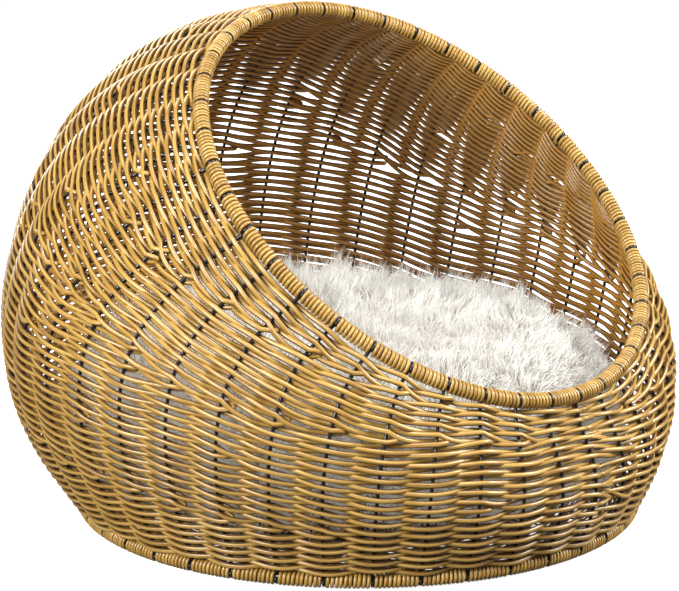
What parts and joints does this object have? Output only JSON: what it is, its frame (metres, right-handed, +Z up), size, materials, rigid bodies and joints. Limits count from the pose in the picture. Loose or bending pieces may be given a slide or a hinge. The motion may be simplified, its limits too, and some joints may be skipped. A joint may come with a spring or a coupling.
{
  "type": "wicker pet bed basket",
  "caption": "Round wicker pet bed: woven strand on a wire rib frame, a slanted round opening with a wrapped rim, a wrapped base ring and a loose white fur cushion.",
  "frame": {"origin": "on the floor, under the middle of the bed's bounding box", "axes": "+Z up; -Y towards the low front of the opening; +X to the right of someone looking at the back of the bed from the front"},
  "size_m": [0.4882, 0.4696, 0.3597],
  "materials": {
    "black_coated_steel": "gloss black coating",
    "honey_strand": "satin, streaked honey colour",
    "white_fur": "long pile"
  },
  "bodies": {
    "basket": {"base_ring": "black_coated_steel", "base_wrap": "honey_strand", "floor_wires": "black_coated_steel", "hoop_wrap": "honey_strand", "opening_hoop": "black_coated_steel", "rib_01": "black_coated_steel", "rib_02": "black_coated_steel", "rib_03": "black_coated_steel", "rib_04": "black_coated_steel", "rib_05": "black_coated_steel", "rib_06": "black_coated_steel", "rib_07": "black_coated_steel", "rib_08": "black_coated_steel", "rib_09": "black_coated_steel", "rib_10": "black_coated_steel", "rib_11": "black_coated_steel", "rib_12": "black_coated_steel", "rib_13": "black_coated_steel", "rib_14": "black_coated_steel", "rib_15": "black_coated_steel", "rib_16": "black_coated_steel", "rib_17": "black_coated_steel", "rib_18": "black_coated_steel", "rib_19": "black_coated_steel", "rib_20": "black_coated_steel", "rib_21": "black_coated_steel", "rib_22": "black_coated_steel", "rib_23": "black_coated_steel", "rib_24": "black_coated_steel", "rib_25": "black_coated_steel", "rib_26": "black_coated_steel", "rib_27": "black_coated_steel", "rib_28": "black_coated_steel", "rib_29": "black_coated_steel", "rib_30": "black_coated_steel", "rib_31": "black_coated_steel", "rib_32": "black_coated_steel", "rib_33": "black_coated_steel", "rib_34": "black_coated_steel", "rib_35": "black_coated_steel", "rib_36": "black_coated_steel", "rib_37": "black_coated_steel", "rib_38": "black_coated_steel", "rib_39": "black_coated_steel", "rib_40": "black_coated_steel", "weave_base_rounds": "honey_strand", "weave_hoop_rounds": "honey_strand", "weave_short_rows": "honey_strand", "woven_floor": "honey_strand"},
    "loose_cushion": {"cushion": "white_fur"}
  },
  "joints": [
    {"name": "cushion_lift", "type": "slide", "parent": "basket", "child": "loose_cushion", "axis": [0, 0, 1], "range_m": [0, 0.025]}
  ]
}
